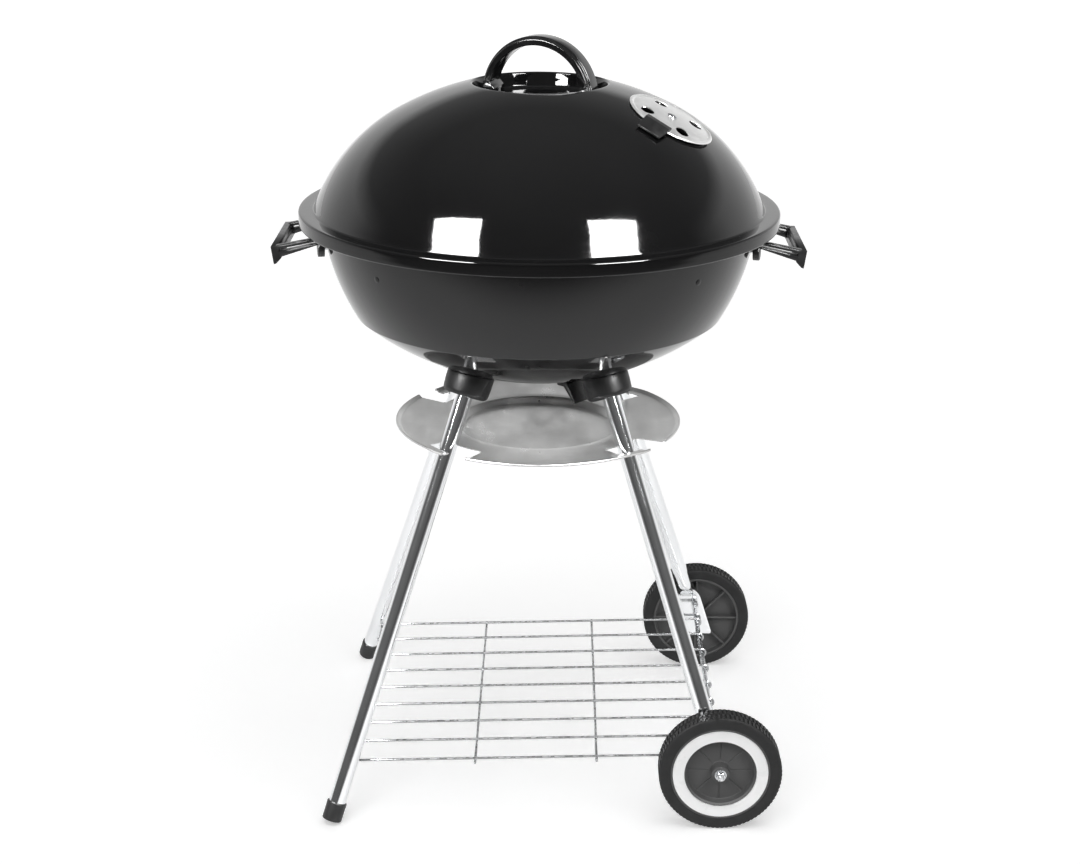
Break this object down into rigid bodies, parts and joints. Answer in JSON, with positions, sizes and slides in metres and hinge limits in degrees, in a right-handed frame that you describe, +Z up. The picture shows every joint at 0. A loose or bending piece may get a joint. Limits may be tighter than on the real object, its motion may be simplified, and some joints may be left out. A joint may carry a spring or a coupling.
{
  "type": "kettle charcoal grill",
  "caption": "Round enamelled kettle grill with a lift-off domed lid, turning dampers, side handles, an ash pan and splayed tube legs with a wire shelf and wheels.",
  "frame": {"origin": "on the ground, directly below the kettle's axis", "axes": "+X towards the side with the wheels, +Y towards the back, +Z up"},
  "size_m": [0.487, 0.444, 0.703],
  "materials": {
    "enamel": "gloss black vitreous enamel",
    "bare_steel": "plain bent steel",
    "zinc": "bright zinc plate",
    "chrome_tube": "polished chrome plate on steel tube",
    "chrome_wire": "chrome plate on steel wire",
    "black_plastic": "semi-gloss black heat-resistant plastic",
    "gloss_handle": "gloss black heat-resistant plastic",
    "socket_plastic": "satin black heat-resistant plastic",
    "cap_plastic": "satin black plastic",
    "tab_plastic": "satin black heat-resistant plastic",
    "hub_plastic": "satin black plastic",
    "damper_aluminium": "matt rolled aluminium",
    "pan_aluminium": "matt rolled aluminium",
    "tyre": "matt black moulded tread",
    "white_ring": "gloss white plastic"
  },
  "bodies": {
    "base": {"bowl_shell": "enamel", "grate_brackets": "bare_steel", "bracket_rivets": "zinc", "bowl_vent_rivet": "zinc", "side_handle_left": "black_plastic", "side_handle_right": "black_plastic", "side_handle_screws": "zinc", "leg_front_left": "chrome_tube", "leg_rear_left": "chrome_tube", "leg_front_right": "chrome_tube", "leg_rear_right": "chrome_tube", "socket_front_left": "socket_plastic", "socket_rear_left": "socket_plastic", "socket_front_right": "socket_plastic", "socket_rear_right": "socket_plastic", "leg_inserts": "zinc", "leg_bolts": "zinc", "leg_washers": "zinc", "foot_cap_front": "cap_plastic", "foot_cap_rear": "cap_plastic", "wire_shelf": "chrome_wire", "axle": "zinc", "axle_nuts": "zinc", "axle_washers": "zinc"},
    "lid": {"lid_shell": "enamel", "lid_handle": "gloss_handle", "lid_handle_screws": "zinc", "lid_vent_rivet": "zinc"},
    "lid_damper": {"lid_vent_disc": "damper_aluminium", "lid_vent_tab": "tab_plastic"},
    "bowl_damper": {"bowl_vent_disc": "damper_aluminium", "bowl_vent_tab": "tab_plastic"},
    "cooking_grate": {"cooking_grate": "chrome_wire"},
    "charcoal_grate": {"charcoal_grate": "bare_steel"},
    "ash_pan": {"ash_pan": "pan_aluminium"},
    "front_wheel": {"front_tyre": "tyre", "front_hub": "hub_plastic", "front_ring": "white_ring"},
    "rear_wheel": {"rear_tyre": "tyre", "rear_hub": "hub_plastic", "rear_ring": "white_ring"}
  },
  "joints": [
    {"name": "lid_lift", "type": "slide", "parent": "base", "child": "lid", "axis": [0, 0, 1], "range_m": [0, 0.2]},
    {"name": "lid_damper_turn", "type": "hinge", "parent": "lid", "child": "lid_damper", "pos_m": [0.11779, -0.04759, 0.63835], "axis": [0.4253, -0.1718, 0.8886], "range_deg": [0, 45]},
    {"name": "bowl_damper_turn", "type": "hinge", "parent": "base", "child": "bowl_damper", "pos_m": [0, 0, 0.387], "axis": [0, 0, 1], "range_deg": [-45, 0]},
    {"name": "cooking_grate_lift", "type": "slide", "parent": "base", "child": "cooking_grate", "axis": [0, 0, 1], "range_m": [0, 0.016]},
    {"name": "charcoal_grate_lift", "type": "slide", "parent": "base", "child": "charcoal_grate", "axis": [0, 0, 1], "range_m": [0, 0.06]},
    {"name": "ash_pan_turn", "type": "hinge", "parent": "base", "child": "ash_pan", "pos_m": [0, 0, 0.34], "axis": [0, 0, 1], "range_deg": [-11, 0]},
    {"name": "front_wheel_spin", "type": "hinge", "parent": "base", "child": "front_wheel", "pos_m": [0.17131, -0.1723, 0.0568], "axis": [0, 1, 0], "continuous": true},
    {"name": "rear_wheel_spin", "type": "hinge", "parent": "base", "child": "rear_wheel", "pos_m": [0.17131, 0.1723, 0.0568], "axis": [0, 1, 0], "continuous": true}
  ]
}
